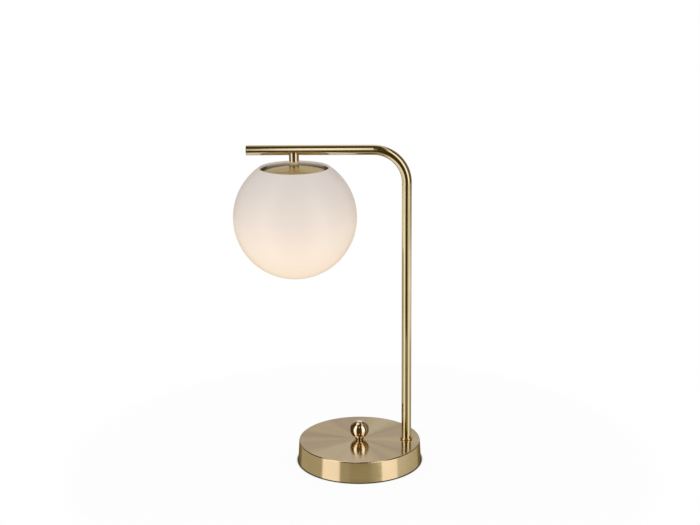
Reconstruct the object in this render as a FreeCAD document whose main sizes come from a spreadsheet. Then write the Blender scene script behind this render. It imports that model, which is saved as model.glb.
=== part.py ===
import FreeCAD, Part
import math
import os
from types import SimpleNamespace

import Sketcher

# Table lamp: a round weighted base with a ball knob at its middle, a tube that rises from one side
# and bends over the base, and an opal glass globe that hangs from the end of the tube.
# The origin is the middle of the base on the table. The tube stands on the +X side, the globe hangs
# on the -X side, and +Z is up. All lengths are millimetres.

os.makedirs("parts", exist_ok=True)
doc = FreeCAD.newDocument("table_lamp")

# Driving sizes, one row each: name, value, what it is.
SIZES = [
    ("base_radius", 77.5, "base cover, outside, at its foot"),
    ("skirt_taper", 1.6, "how much the base cover narrows up to its top edge"),
    ("base_height", 26.8, "top of the base above the table"),
    ("base_edge_radius", 1.3, "rounding of the top edge of the base cover"),
    ("shell_wall", 1.2, "spun brass of the base cover"),
    ("shell_lift", 0.8, "foot of the base cover above the table"),
    ("pad_thickness", 2.0, "foam pad under the base"),
    ("pad_margin", 2.2, "from the inside of the cover to the pad"),
    ("pad_hole_margin", 1.7, "round the head of a plate screw in the pad"),
    ("plate_thickness", 2.0, "steel plate that closes the base"),
    ("plate_clearance", 0.6, "from the inside of the cover to the plate"),
    ("plate_screw_inset", 17.7, "plate screws from the edge of the plate"),
    ("plate_screw_length", 11.0, "plate screw from head face to point"),
    ("screw_radius", 1.5, "thread of the small screws"),
    ("screw_head_margin", 1.3, "head of the small screws beyond the thread"),
    ("screw_head_height", 1.5, "head of the small screws"),
    ("screw_clearance", 0.2, "round a screw in its hole"),
    ("weight_clearance", 2.1, "from the inside of the cover's top edge to the casting"),
    ("weight_bore", 27.5, "cast ballast ring, inside"),
    ("weight_draft", 1.2, "taper of the casting over its thickness"),
    ("weight_rounding", 1.5, "rounded top edges of the casting"),
    ("pillar_wall", 1.9, "pillars of the casting, round the nut recess"),
    ("pillar_draft", 1.0, "taper of a pillar over its height"),
    ("nut_recess_clearance", 0.8, "round the washer in the recess of the stem pillar"),
    ("nut_recess_height", 13.0, "recess of the stem pillar, above the plate"),
    ("lead_channel_clearance", 2.5, "round the lamp lead in the channel under the casting"),
    ("cord_slot_clearance", 2.0, "each side of the terminal block in the slot of the casting"),
    ("cord_bore_radius", 3.6, "bore of the cord bush"),
    ("cord_bush_wall", 1.3, "wall of the cord bush"),
    ("cord_bush_flange", 1.5, "width of the cord bush's flanges"),
    ("cord_bush_lip", 1.9, "thickness of the cord bush's outer flange"),
    ("cord_bush_tail", 5.0, "length of the cord bush inside the cover"),
    ("cord_bush_slack", 0.5, "between the bush's flanges and the curved cover"),
    ("stem_inset", 17.0, "axis of the upright tube from the top edge of the base"),
    ("tube_diameter", 12.0, "bent brass tube, outside"),
    ("tube_wall", 1.0, "bent brass tube"),
    ("bend_radius", 40.0, "bend of the tube at its centre line"),
    ("arm_height", 396.5, "centre line of the level arm above the table"),
    ("arm_overhang", 57.3, "far end of the arm beyond the axis of the globe"),
    ("plug_head", 1.0, "head of the end plug"),
    ("plug_chamfer", 0.4, "broken edge of the end plug"),
    ("plug_spigot", 7.0, "spigot of the end plug inside the tube"),
    ("collar_width", 1.6, "bead ring at the foot of the tube, beyond the tube"),
    ("collar_height", 2.8, "bead ring at the foot of the tube"),
    ("nipple_wall", 1.3, "threaded hollow nipples"),
    ("nipple_grip", 9.0, "length of a nipple inside the tube that it holds"),
    ("nipple_end", 0.5, "nipple beyond its nut"),
    ("thread_clearance", 0.05, "between a thread and its hole, on the radius"),
    ("hole_clearance", 0.3, "between a nipple and a plain hole, on the radius"),
    ("nut_wall", 2.05, "nuts, from their thread to their flats"),
    ("nut_height", 3.0, "thin nuts"),
    ("washer_width", 4.55, "ring of the washer under the stem nut"),
    ("washer_thickness", 1.5, "washer under the stem nut"),
    ("knob_radius", 12.05, "ball knob"),
    ("knob_gap", 0.4, "under the boss of the ball knob"),
    ("knob_boss_wall", 0.95, "boss under the ball knob, round its bore"),
    ("knob_boss_height", 0.8, "boss under the ball knob, below the ball's own curve"),
    ("spindle_radius", 3.0, "dimmer spindle"),
    ("spindle_flat", 0.7, "depth of the flat on the spindle"),
    ("spindle_grip", 14.0, "length of the spindle inside the knob"),
    ("spindle_collar_width", 1.2, "collar that keeps the spindle in"),
    ("spindle_collar_height", 1.2, "collar that keeps the spindle in"),
    ("running_clearance", 0.05, "between the spindle and its bearing, on the radius"),
    ("play", 0.3, "end play and seating gaps"),
    ("bushing_wall", 1.95, "threaded bushing of the dimmer"),
    ("bushing_sink", 0.4, "top of the bushing below the top of the base"),
    ("bracket_thickness", 1.5, "strip that carries the dimmer"),
    ("bracket_width", 16.0, "strip that carries the dimmer"),
    ("bracket_screw_inset", 6.5, "screws of the bracket from the bore of the casting"),
    ("bracket_screw_length", 9.0, "screws of the bracket under their heads"),
    ("bracket_margin", 5.0, "bracket beyond its screws"),
    ("bracket_room", 2.1, "between the nut on the dimmer and the cover"),
    ("dimmer_length", 30.0, "dimmer housing along X"),
    ("dimmer_width", 26.0, "dimmer housing along Y"),
    ("dimmer_foot_gap", 0.6, "under the dimmer housing"),
    ("dimmer_rounding", 3.0, "upright edges of the dimmer housing"),
    ("dimmer_floor", 4.0, "bottom of the dimmer housing under the spindle"),
    ("terminal_length", 21.0, "terminal block along X"),
    ("terminal_width", 14.0, "terminal block along Y"),
    ("terminal_height", 11.0, "terminal block"),
    ("terminal_offset", 41.0, "terminal block from the middle of the base"),
    ("terminal_pitch", 14.0, "between the two ways of the terminal block"),
    ("terminal_wire_height", 4.5, "wire bores above the bottom of the block"),
    ("terminal_screw_radius", 1.7, "clamping screws of the terminal block"),
    ("terminal_rounding", 1.0, "upright edges of the terminal block"),
    ("wire_radius", 1.2, "single insulated wires in the base"),
    ("lead_radius", 2.0, "sheathed lead inside the tube"),
    ("lead_rise", 2.5, "lead above the plate where it crosses the base"),
    ("lead_foot_bend", 8.0, "bend of the lead at the foot of the tube"),
    ("lead_gap", 0.9, "between the lead and the top of the arm's bore"),
    ("neck_offset", 76.1, "axis of the globe from the middle of the base"),
    ("neck_wall", 0.95, "neck tube round its nipple"),
    ("neck_shoulder", 0.95, "step inside the neck above its nipple"),
    ("neck_drop", 15.2, "from the underside of the arm to the top of the dome"),
    ("dome_clearance", 1.5, "from the brass dome to the mouth of the globe"),
    ("dome_rise", 6.2, "height of the dome above its edge"),
    ("dome_wall", 1.0, "brass dome"),
    ("dome_hub_margin", 1.1, "flat seat on top of the dome, beyond the neck"),
    ("dome_edge", 1.8, "turned-down edge of the dome"),
    ("dome_sink", 7.4, "edge of the dome below the rim of the glass"),
    ("globe_diameter", 150.0, "opal glass globe, outside"),
    ("glass_wall", 2.7, "opal glass globe"),
    ("mouth_radius", 41.3, "opening in the top of the globe"),
    ("rim_rounding", 1.1, "melted edges of the glass rim"),
    ("spring_plate_radius", 24.5, "disc that carries the springs"),
    ("spring_plate_thickness", 1.2, "disc that carries the springs"),
    ("spring_width", 9.0, "spring strips"),
    ("spring_thickness", 0.8, "spring strips"),
    ("spring_tail", 7.0, "spring strip inward of its rivet"),
    ("spring_overhang", 4.0, "level stretch of a spring beyond its disc"),
    ("spring_drop", 8.0, "fall of a spring under the edge of the dome"),
    ("spring_bend", 2.0, "inside of a spring's bends"),
    ("spring_grip", 3.3, "spring tip beyond the mouth of the glass"),
    ("spring_lip", 2.6, "inward curl of the spring's tip"),
    ("rivet_inset", 4.0, "rivets of the springs from the edge of the disc"),
    ("rivet_radius", 1.5, "shank of a rivet"),
    ("rivet_head_margin", 1.1, "head of a rivet beyond its shank"),
    ("rivet_head_height", 1.0, "head of a rivet"),
    ("holder_radius", 13.8, "lampholder"),
    ("holder_wall", 1.8, "lampholder"),
    ("holder_cap_height", 15.5, "cap of the lampholder"),
    ("holder_entry_wall", 3.0, "threaded entry of the lampholder round the nipple"),
    ("holder_entry_height", 4.5, "threaded entry of the lampholder"),
    ("holder_body_height", 31.0, "body of the lampholder"),
    ("holder_web", 3.5, "web that carries the contacts"),
    ("screw_shell_room", 0.85, "between the screw shell and the bore of the lampholder"),
    ("screw_shell_clearance", 0.3, "round the bulb's thread in the screw shell"),
    ("screw_shell_wall", 0.6, "lampholder's screw shell"),
    ("screw_shell_length", 22.0, "lampholder's screw shell"),
    ("contact_thickness", 0.6, "centre contact of the lampholder"),
    ("contact_length", 9.0, "centre contact of the lampholder"),
    ("contact_width", 4.5, "centre contact of the lampholder"),
    ("bulb_length", 78.0, "whole bulb"),
    ("bulb_radius", 22.5, "envelope of the bulb"),
    ("bulb_wall", 1.2, "envelope of the bulb"),
    ("bulb_shoulder_radius", 15.5, "where the envelope meets its collar"),
    ("bulb_cap_radius", 6.95, "crest of the bulb's thread"),
    ("bulb_thread_depth", 0.7, "thread of the bulb's cap"),
    ("bulb_thread_pitch", 2.82, "thread of the bulb's cap"),
    ("bulb_cap_wall", 0.6, "metal of the bulb's cap"),
    ("bulb_cap_skirt", 4.5, "plain length of the cap below its thread"),
    ("bulb_insulator_height", 3.0, "black cone on the cap"),
    ("bulb_contact_radius", 2.4, "contact button on the cap"),
    ("bulb_contact_height", 1.4, "contact button on the cap"),
    ("bulb_collar_wall", 1.6, "plastic collar of the bulb"),
    ("bulb_neck_gap", 0.9, "from the foot of the lampholder to the shoulder of the collar"),
    ("led_board_thickness", 1.5, "light board in the bulb"),
    ("overrun", 1.0, "how far a cut runs past a face"),
]


class Length:
    """A length with its value and the expression that works it out from the table of sizes."""

    def __init__(self, value, text):
        self.value = value
        self.text = text

    def __add__(self, other):
        return Length(self.value + other.value, f"({self.text} + {other.text})")

    def __sub__(self, other):
        return Length(self.value - other.value, f"({self.text} - {other.text})")

    def __neg__(self):
        return Length(-self.value, f"(-{self.text})")

    def __mul__(self, factor):
        if isinstance(factor, Length):
            return Length(self.value * factor.value, f"({self.text} * {factor.text})")
        return Length(self.value * factor, f"({self.text} * {factor!r})")

    def __truediv__(self, divisor):
        if isinstance(divisor, Length):
            return Length(self.value / divisor.value, f"({self.text} / {divisor.text})")
        return Length(self.value / divisor, f"({self.text} / {divisor!r})")


ZERO = Length(0.0, "0")


def beside(hypotenuse, side):
    """The other side of a right triangle, as where a circle stands at a given offset."""
    value = math.sqrt(hypotenuse.value**2 - side.value**2)
    return Length(value, f"sqrt({hypotenuse.text} * {hypotenuse.text} - {side.text} * {side.text})")


def table_of_sizes():
    """Writes the driving sizes to a sheet and gives them back by name."""
    sheet = doc.addObject("Spreadsheet::Sheet", "Sizes")
    for row, (name, value, meaning) in enumerate(SIZES, start=1):
        sheet.set(f"A{row}", meaning)
        sheet.set(f"B{row}", str(value))
        sheet.setAlias(f"B{row}", name)
    doc.recompute()
    return SimpleNamespace(**{name: Length(value, f"Sizes.{name}") for name, value, _ in SIZES})


size = table_of_sizes()

# Sketches and solids

FULL_TURN = 360.0
SQUARE_TURN = 90.0
HEX_SIDES = 6
START, END, CENTRE = 1, 2, 3
parts = []


def bind(thing, **lengths):
    """Ties properties of an object to the table of sizes."""
    for name, length in lengths.items():
        thing.setExpression(name, length.text)
    return thing


def place(thing, x=ZERO, y=ZERO, z=ZERO, axis=(0, 0, 1), turn=0.0):
    """Moves an object to a place that follows the sizes, turned about an axis through its origin."""
    thing.Placement = FreeCAD.Placement(FreeCAD.Vector(), FreeCAD.Rotation(FreeCAD.Vector(*axis), turn))
    for letter, length in (("x", x), ("y", y), ("z", z)):
        thing.setExpression(f".Placement.Base.{letter}", length.text)
    return thing


def new_body(name):
    body = doc.addObject("PartDesign::Body", name)
    body.Label = name
    return body


def keep(thing, name):
    """Marks an object as one of the lamp's pieces."""
    thing.Label = name
    parts.append(thing)
    return thing


def new_sketch(body, name, role, lift=ZERO):
    """A sketch on one of the body's own origin planes, lifted along the plane's normal."""
    sketch = body.newObject("Sketcher::SketchObject", name)
    plane = next(feature for feature in body.Origin.OriginFeatures if feature.Role == role)
    sketch.AttachmentSupport = [(plane, "")]
    sketch.MapMode = "FlatFace"
    sketch.setExpression(".AttachmentOffset.Base.z", lift.text)
    return sketch


def pin_point(sketch, side, end, corner):
    """Holds a point of a sketch at its corner."""
    for kind, length in zip(("DistanceX", "DistanceY"), corner):
        number = sketch.addConstraint(Sketcher.Constraint(kind, -1, 1, side, end, length.value))
        sketch.setExpression(f"Constraints[{number}]", length.text)


def pin_radius(sketch, side, radius):
    number = sketch.addConstraint(Sketcher.Constraint("Radius", side, radius.value))
    sketch.setExpression(f"Constraints[{number}]", radius.text)


def draw_chain(sketch, corners, arcs, closed):
    """Straight sides and arcs from corner to corner. An arc is given by the number of its side, its
    radius, and +1 if it bulges to the right of the way from corner to corner, or -1 to the left."""
    points = [FreeCAD.Vector(x.value, y.value, 0) for x, y in corners]
    count = len(points) if closed else len(points) - 1
    ends = []
    for side in range(count):
        start, end = points[side], points[(side + 1) % len(points)]
        if side not in arcs:
            sketch.addGeometry(Part.LineSegment(start, end), False)
            ends.append((START, END))
            continue
        radius, bulge = arcs[side]
        chord = end - start
        left = FreeCAD.Vector(-chord.y, chord.x, 0).normalize() * bulge
        depth = math.sqrt(max(radius.value**2 - chord.Length**2 / 4, 0.0))
        centre = (start + end) * 0.5 + left * depth
        first, last = (start, end) if bulge > 0 else (end, start)
        angles = [math.atan2(point.y - centre.y, point.x - centre.x) for point in (first, last)]
        if angles[1] < angles[0]:
            angles[1] += math.tau
        whole = Part.Circle(centre, FreeCAD.Vector(0, 0, 1), radius.value)
        sketch.addGeometry(Part.ArcOfCircle(whole, *angles), False)
        ends.append((START, END) if bulge > 0 else (END, START))
    for side in range(count):
        pin_point(sketch, side, ends[side][0], corners[side])
        following = side + 1
        if following < count or closed:
            following = following % count
            sketch.addConstraint(
                Sketcher.Constraint("Coincident", side, ends[side][1], following, ends[following][0])
            )
        else:
            pin_point(sketch, side, ends[side][1], corners[following])
        if side in arcs:
            pin_radius(sketch, side, arcs[side][0])
    return sketch


def outline(body, name, corners, arcs=None, role="XZ_Plane", lift=ZERO):
    """A closed outline."""
    return draw_chain(new_sketch(body, name, role, lift), corners, arcs or {}, closed=True)


def circles(body, name, rings, role="XY_Plane", lift=ZERO):
    """Circles, each given by the X and Y of its centre and its radius."""
    sketch = new_sketch(body, name, role, lift)
    for number, (x, y, radius) in enumerate(rings):
        centre = FreeCAD.Vector(x.value, y.value, 0)
        sketch.addGeometry(Part.Circle(centre, FreeCAD.Vector(0, 0, 1), radius.value), False)
        pin_point(sketch, number, CENTRE, (x, y))
        pin_radius(sketch, number, radius)
    return sketch


def block(left, front, right, back):
    """The corners of a rectangle."""
    return [(left, front), (right, front), (right, back), (left, back)]


def hexagon(width):
    """The corners of a hexagon, from its width across the flats."""
    corner = width / math.sqrt(3)
    angles = [math.radians(FULL_TURN * number / HEX_SIDES) for number in range(HEX_SIDES)]
    return [(corner * math.cos(angle), corner * math.sin(angle)) for angle in angles]


def revolve(body, sketch):
    """Turns an outline round the upright axis of its sketch."""
    solid = body.newObject("PartDesign::Revolution", sketch.Name + "_turned")
    solid.Profile = sketch
    solid.ReferenceAxis = (sketch, ["V_Axis"])
    solid.Angle = FULL_TURN
    body.Tip = solid
    return solid


def pad(body, sketch, length):
    """Thickens an outline along its plane's normal."""
    solid = body.newObject("PartDesign::Pad", sketch.Name + "_raised")
    solid.Profile = sketch
    bind(solid, Length=length)
    body.Tip = solid
    return solid


def pocket(body, sketch, depth=None, both_ways=False):
    """Cuts an outline against its plane's normal, all the way through if no depth is given."""
    cut = body.newObject("PartDesign::Pocket", sketch.Name + "_cut")
    cut.Profile = sketch
    if depth is None:
        cut.Type = "ThroughAll"
        if both_ways:
            cut.SideType = "Symmetric"
    else:
        bind(cut, Length=depth)
    body.Tip = cut
    return cut


def repeat_round(body, feature, sketch, count):
    """Repeats a feature evenly round the upright axis."""
    pattern = body.newObject("PartDesign::PolarPattern", feature.Name + "_ring")
    pattern.Originals = [feature]
    pattern.Axis = (sketch, ["N_Axis"])
    pattern.Angle = FULL_TURN
    pattern.Occurrences = count
    body.Tip = pattern
    return pattern


def soften(body, kind, size_name, length, wanted):
    """Rounds or chamfers the edges of a body that a test picks out."""
    doc.recompute()
    base = body.Tip
    edges = [f"Edge{number}" for number, edge in enumerate(base.Shape.Edges, start=1) if wanted(edge)]
    assert edges, f"{body.Label}: no edge to soften"
    softened = body.newObject("PartDesign::" + kind, body.Name + "_softened")
    softened.Base = (base, edges)
    softened.setExpression(size_name, length.text)
    body.Tip = softened
    return softened


def fillet(body, radius, wanted):
    return soften(body, "Fillet", "Radius", radius, wanted)


def chamfer(body, width, wanted):
    return soften(body, "Chamfer", "Size", width, wanted)


CLOSE = 1e-4


def ring_edge(radius, height):
    """Picks out a round edge about the upright axis by its radius and height."""

    def wanted(edge):
        if edge.Degenerated or not isinstance(edge.Curve, Part.Circle):
            return False
        curve = edge.Curve
        centre = curve.Center
        return (
            math.hypot(centre.x, centre.y) < CLOSE
            and abs(curve.Radius - radius.value) < CLOSE
            and abs(centre.z - height.value) < CLOSE
        )

    return wanted


def upright_edge(edge):
    """Picks out a straight edge that runs along Z."""
    return isinstance(edge.Curve, Part.Line) and abs(edge.Curve.Direction.z) > 1 - CLOSE


def spun(name, corners, arcs=None):
    """A body turned from one outline in X and Z round the Z axis."""
    body = new_body(name)
    revolve(body, outline(body, name + "_outline", corners, arcs))
    return body


def tube_of(inner, outer, low, high):
    """The outline of a plain ring or sleeve."""
    return block(inner, low, outer, high)


def group(name, members):
    """Like pieces that share one name."""
    gathered = doc.addObject("Part::Compound", name)
    gathered.Links = members
    return keep(gathered, name)


def cut_away(name, body, tool):
    """A body less a tool."""
    cut = doc.addObject("Part::Cut", name)
    cut.Base = body
    cut.Tool = tool
    return cut


def turned_places(distance, count, first):
    """Places evenly spaced on a circle about the Z axis."""
    angles = [math.radians(first + FULL_TURN * number / count) for number in range(count)]
    return [(distance * math.cos(angle), distance * math.sin(angle)) for angle in angles]


# Radii, offsets and heights that several pieces share, worked out from the driving sizes.
tube_radius = size.tube_diameter / 2
tube_bore = tube_radius - size.tube_wall
nipple_radius = tube_bore - size.thread_clearance
nipple_bore = nipple_radius - size.nipple_wall
nipple_hole = nipple_radius + size.hole_clearance
nipple_thread = nipple_radius + size.thread_clearance
neck_radius = nipple_radius + size.neck_wall
neck_bore = nipple_radius - size.neck_shoulder
spindle_bore = size.spindle_radius + size.running_clearance
bushing_radius = spindle_bore + size.bushing_wall
screw_head_radius = size.screw_radius + size.screw_head_margin
screw_hole = size.screw_radius + size.screw_clearance

base_top_radius = size.base_radius - size.skirt_taper
shell_inside = size.base_radius - size.shell_wall
shell_ceiling = size.base_height - size.shell_wall
inlet_height = size.base_height / 2
stem_offset = base_top_radius - size.stem_inset
arm_reach = size.neck_offset + size.arm_overhang
plate_radius = shell_inside - size.plate_clearance
plate_top = size.pad_thickness + size.plate_thickness
plate_screw_circle = plate_radius - size.plate_screw_inset
weight_radius = base_top_radius - size.shell_wall - size.weight_clearance
weight_top = shell_ceiling - size.bracket_room - size.nut_height - size.bracket_thickness
bracket_top = weight_top + size.bracket_thickness
bracket_screw_circle = size.weight_bore + size.bracket_screw_inset
washer_radius = nipple_hole + size.washer_width
nut_recess_radius = washer_radius + size.nut_recess_clearance
nut_recess_top = plate_top + size.nut_recess_height
pillar_radius = nut_recess_radius + size.pillar_wall

dome_top = size.arm_height - tube_radius - size.neck_drop
dome_radius = size.mouth_radius - size.dome_clearance
dome_edge_height = dome_top - size.dome_rise
globe_radius = size.globe_diameter / 2
glass_inside = globe_radius - size.glass_wall
mouth_height = dome_edge_height + size.dome_sink
globe_centre = mouth_height - beside(globe_radius, size.mouth_radius)
dome_nut_foot = dome_top - size.dome_wall - size.nut_height
spring_plate_foot = dome_nut_foot - size.spring_plate_thickness
rivet_circle = size.spring_plate_radius - size.rivet_inset
rivet_head_radius = size.rivet_radius + size.rivet_head_margin
plate_nut_foot = spring_plate_foot - size.nut_height
holder_top = plate_nut_foot - size.play
holder_joint = holder_top - size.holder_cap_height
holder_foot = holder_joint - size.holder_body_height
screw_shell_radius = size.bulb_cap_radius + size.screw_shell_clearance
holder_bore_radius = screw_shell_radius + size.screw_shell_wall + size.screw_shell_room
contact_face = holder_joint - size.holder_web - size.contact_thickness
bulb_top = contact_face - size.play
bulb_bottom = bulb_top - size.bulb_length


# Base cover: spun from brass sheet, with a slightly tapered skirt, a rounded top edge, a hole at
# the middle for the dimmer, one for the upright tube and one in the skirt for the mains cord.
def make_base_shell():
    bushing_hole = bushing_radius + size.hole_clearance
    top_inside = base_top_radius - size.shell_wall
    body = spun(
        "base_shell",
        [
            (shell_inside, size.shell_lift),
            (size.base_radius, size.shell_lift),
            (base_top_radius, size.base_height),
            (bushing_hole, size.base_height),
            (bushing_hole, shell_ceiling),
            (top_inside, shell_ceiling),
        ],
    )
    fillet(body, size.base_edge_radius, ring_edge(base_top_radius, size.base_height))
    stem_hole = circles(body, "stem_hole", [(stem_offset, ZERO, nipple_hole)])
    pocket(body, stem_hole, both_ways=True)
    bush_hole = size.cord_bore_radius + size.cord_bush_wall + size.hole_clearance
    cord_hole = circles(body, "cord_hole", [(ZERO, inlet_height, bush_hole)], role="XZ_Plane")
    pocket(body, cord_hole)
    return keep(body, "base_shell")


# Foam pad under the base, with an opening over each plate screw, and the steel plate that closes
# the base, held up to the casting by three countersunk screws.
PILLAR_COUNT = 3
PLATE_SCREW_ANGLE = 60.0
screw_places = turned_places(plate_screw_circle, PILLAR_COUNT, PLATE_SCREW_ANGLE)


def make_base_floor():
    pad_radius = shell_inside - size.pad_margin
    foot = spun("base_pad", block(ZERO, ZERO, pad_radius, size.pad_thickness))
    pad_hole = screw_head_radius + size.pad_hole_margin
    openings = circles(foot, "pad_openings", [(x, y, pad_hole) for x, y in screw_places])
    pocket(foot, openings, both_ways=True)
    keep(foot, "base_pad")

    plate = spun("base_plate", block(ZERO, size.pad_thickness, plate_radius, plate_top))
    holes = [(x, y, screw_hole) for x, y in screw_places]
    holes.append((ZERO, size.terminal_offset, screw_hole))
    pocket(plate, circles(plate, "plate_holes", holes), both_ways=True)

    def mouth_of_screw_hole(edge):
        curve = edge.Curve
        if not isinstance(curve, Part.Circle) or abs(curve.Center.z - size.pad_thickness.value) > CLOSE:
            return False
        distance = math.hypot(curve.Center.x, curve.Center.y)
        return abs(distance - plate_screw_circle.value) < CLOSE

    chamfer(plate, screw_head_radius - size.screw_radius, mouth_of_screw_hole)
    keep(plate, "base_plate")


def make_plate_screws():
    sink = screw_head_radius - size.screw_radius
    screws = []
    for number, (x, y) in enumerate(screw_places):
        screw = spun(
            f"plate_screw_{number}",
            [
                (ZERO, ZERO),
                (screw_head_radius, ZERO),
                (size.screw_radius, sink),
                (size.screw_radius, size.plate_screw_length),
                (ZERO, size.plate_screw_length),
            ],
        )
        screws.append(place(screw, x=x, y=y, z=size.pad_thickness))
    group("plate_screws", screws)


# Ballast: a cast-iron ring with three pillars that reach the cover. The stem pillar has a recess
# for the nut, a channel leads the lamp lead to it, and a slot at the back lets the mains cord in.
BRACKET_ANGLE = 30.0
lead_level = plate_top + size.lead_rise
bracket_screw_places = turned_places(bracket_screw_circle, 2, BRACKET_ANGLE)


def make_base_weight():
    body = spun(
        "base_weight",
        [
            (size.weight_bore, plate_top),
            (weight_radius, plate_top),
            (weight_radius - size.weight_draft, weight_top),
            (size.weight_bore + size.weight_draft, weight_top),
        ],
    )
    fillet(
        body,
        size.weight_rounding,
        lambda edge: ring_edge(weight_radius - size.weight_draft, weight_top)(edge)
        or ring_edge(size.weight_bore + size.weight_draft, weight_top)(edge),
    )
    pillar_start = (plate_top + weight_top) / 2
    pillar_sketch = circles(
        body, "pillar", [(stem_offset, ZERO, pillar_radius)], lift=pillar_start
    )
    pillar = pad(body, pillar_sketch, shell_ceiling - pillar_start)
    pillar.TaperAngle = -math.degrees(math.atan2(size.pillar_draft.value, (shell_ceiling - weight_top).value))
    repeat_round(body, pillar, pillar_sketch, PILLAR_COUNT)
    stem_hole = circles(body, "weight_stem_hole", [(stem_offset, ZERO, nipple_hole)])
    pocket(body, stem_hole, both_ways=True)
    recess = circles(
        body, "nut_recess", [(stem_offset, ZERO, nut_recess_radius)], lift=nut_recess_top
    )
    pocket(body, recess)
    half_channel = size.lead_radius + size.lead_channel_clearance
    channel = outline(
        body,
        "lead_channel",
        block(ZERO, -half_channel, stem_offset, half_channel),
        role="XY_Plane",
        lift=lead_level + half_channel,
    )
    pocket(body, channel)
    half_slot = size.terminal_length / 2 + size.cord_slot_clearance
    slot = outline(
        body, "cord_slot", block(-half_slot, ZERO, half_slot, size.base_radius), role="XY_Plane"
    )
    pocket(body, slot, both_ways=True)
    depth = size.plate_screw_length
    holes = circles(
        body, "weight_holes", [(x, y, screw_hole) for x, y in screw_places], lift=plate_top + depth
    )
    pocket(body, holes)
    bracket_holes = circles(
        body, "bracket_holes", [(x, y, screw_hole) for x, y in bracket_screw_places], lift=weight_top
    )
    pocket(body, bracket_holes)
    return keep(body, "base_weight")


# Cord bush: a moulded ring in the skirt, at the back of the lamp, that the mains cord passes.
def make_cord_bush():
    sleeve = size.cord_bore_radius + size.cord_bush_wall
    flange = sleeve + size.cord_bush_flange
    inner_face = -size.shell_wall - size.cord_bush_slack
    body = spun(
        "cord_bush",
        [
            (size.cord_bore_radius, -size.shell_wall - size.cord_bush_tail),
            (sleeve - size.cord_bush_wall / 2, -size.shell_wall - size.cord_bush_tail),
            (flange, inner_face - size.cord_bush_lip / 2),
            (flange, inner_face),
            (sleeve, inner_face),
            (sleeve, size.cord_bush_slack),
            (flange, size.cord_bush_slack),
            (flange, size.cord_bush_slack + size.cord_bush_lip / 2),
            (flange - size.cord_bush_lip / 2, size.cord_bush_slack + size.cord_bush_lip),
            (size.cord_bore_radius, size.cord_bush_slack + size.cord_bush_lip),
        ],
        arcs={7: (size.cord_bush_lip / 2, 1)},
    )
    skirt_height = size.base_height - size.shell_lift
    taper = (size.base_radius - base_top_radius) / skirt_height.value
    skirt_radius = size.base_radius - taper * (inlet_height - size.shell_lift).value
    place(body, y=skirt_radius, z=inlet_height, axis=(1, 0, 0), turn=-SQUARE_TURN)
    return keep(body, "cord_bush")


# Upright tube and arm: one brass tube with a single bend, open at the foot, with a hole under the
# arm where the lamp lead turns down into the neck.
tube_rise = size.arm_height - size.base_height
tube_span = stem_offset + arm_reach - size.plug_head


def make_stem_tube():
    body = new_body("stem_tube")
    section = circles(
        body, "tube_section", [(ZERO, ZERO, tube_radius), (ZERO, ZERO, tube_bore)]
    )
    path = draw_chain(
        new_sketch(body, "tube_path", "XZ_Plane"),
        [
            (ZERO, ZERO),
            (ZERO, tube_rise - size.bend_radius),
            (-size.bend_radius, tube_rise),
            (-tube_span, tube_rise),
        ],
        {1: (size.bend_radius, 1)},
        closed=False,
    )
    pipe = body.newObject("PartDesign::AdditivePipe", "tube_sweep")
    pipe.Profile = section
    pipe.Spine = (path, ["Edge1", "Edge2", "Edge3"])
    body.Tip = pipe
    neck_place = -(stem_offset + size.neck_offset)
    lead_hole = circles(
        body, "lead_hole", [(neck_place, ZERO, neck_bore)], lift=tube_rise
    )
    pocket(body, lead_hole)
    place(body, x=stem_offset, z=size.base_height)
    return keep(body, "stem_tube")


def make_arm_end_plug():
    body = spun(
        "arm_end_plug",
        [
            (ZERO, -size.plug_head - size.plug_spigot),
            (tube_bore - size.thread_clearance, -size.plug_head - size.plug_spigot),
            (tube_bore - size.thread_clearance, -size.plug_head),
            (tube_radius, -size.plug_head),
            (tube_radius, -size.plug_chamfer),
            (tube_radius - size.plug_chamfer, ZERO),
            (ZERO, ZERO),
        ],
    )
    place(body, x=-arm_reach, z=size.arm_height, axis=(0, 1, 0), turn=-SQUARE_TURN)
    return keep(body, "arm_end_plug")


# Foot collar: a solid bead ring that covers the joint of the tube and the base.
def make_foot_collar():
    bead = size.collar_height / 2
    outside = tube_radius + size.collar_width
    body = spun(
        "foot_collar",
        [
            (tube_radius + size.thread_clearance, ZERO),
            (outside - bead, ZERO),
            (outside, bead),
            (outside - bead, size.collar_height),
            (tube_radius + size.thread_clearance, size.collar_height),
        ],
        arcs={1: (bead, 1), 2: (bead, 1)},
    )
    place(body, x=stem_offset, z=size.base_height)
    return keep(body, "foot_collar")


def hex_nut(name, thread, foot, x=ZERO):
    """A thin hexagon nut for a thread, with its corners turned off at both faces."""
    bore = thread + size.thread_clearance
    height = size.nut_height
    half_width = thread + size.nut_wall
    corner = half_width * 2 / math.sqrt(3)
    bevel = (corner - half_width) / 2
    disc = spun(
        name + "_disc",
        [
            (bore, ZERO),
            (half_width, ZERO),
            (corner, bevel),
            (corner, height - bevel),
            (half_width, height),
            (bore, height),
        ],
    )
    prism = new_body(name + "_prism")
    pad(prism, outline(prism, name + "_hexagon", hexagon(half_width * 2), role="XY_Plane"), height)
    nut = doc.addObject("Part::Common", name)
    nut.Base = disc
    nut.Tool = prism
    place(nut, x=x, z=foot)
    return keep(nut, name)


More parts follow.
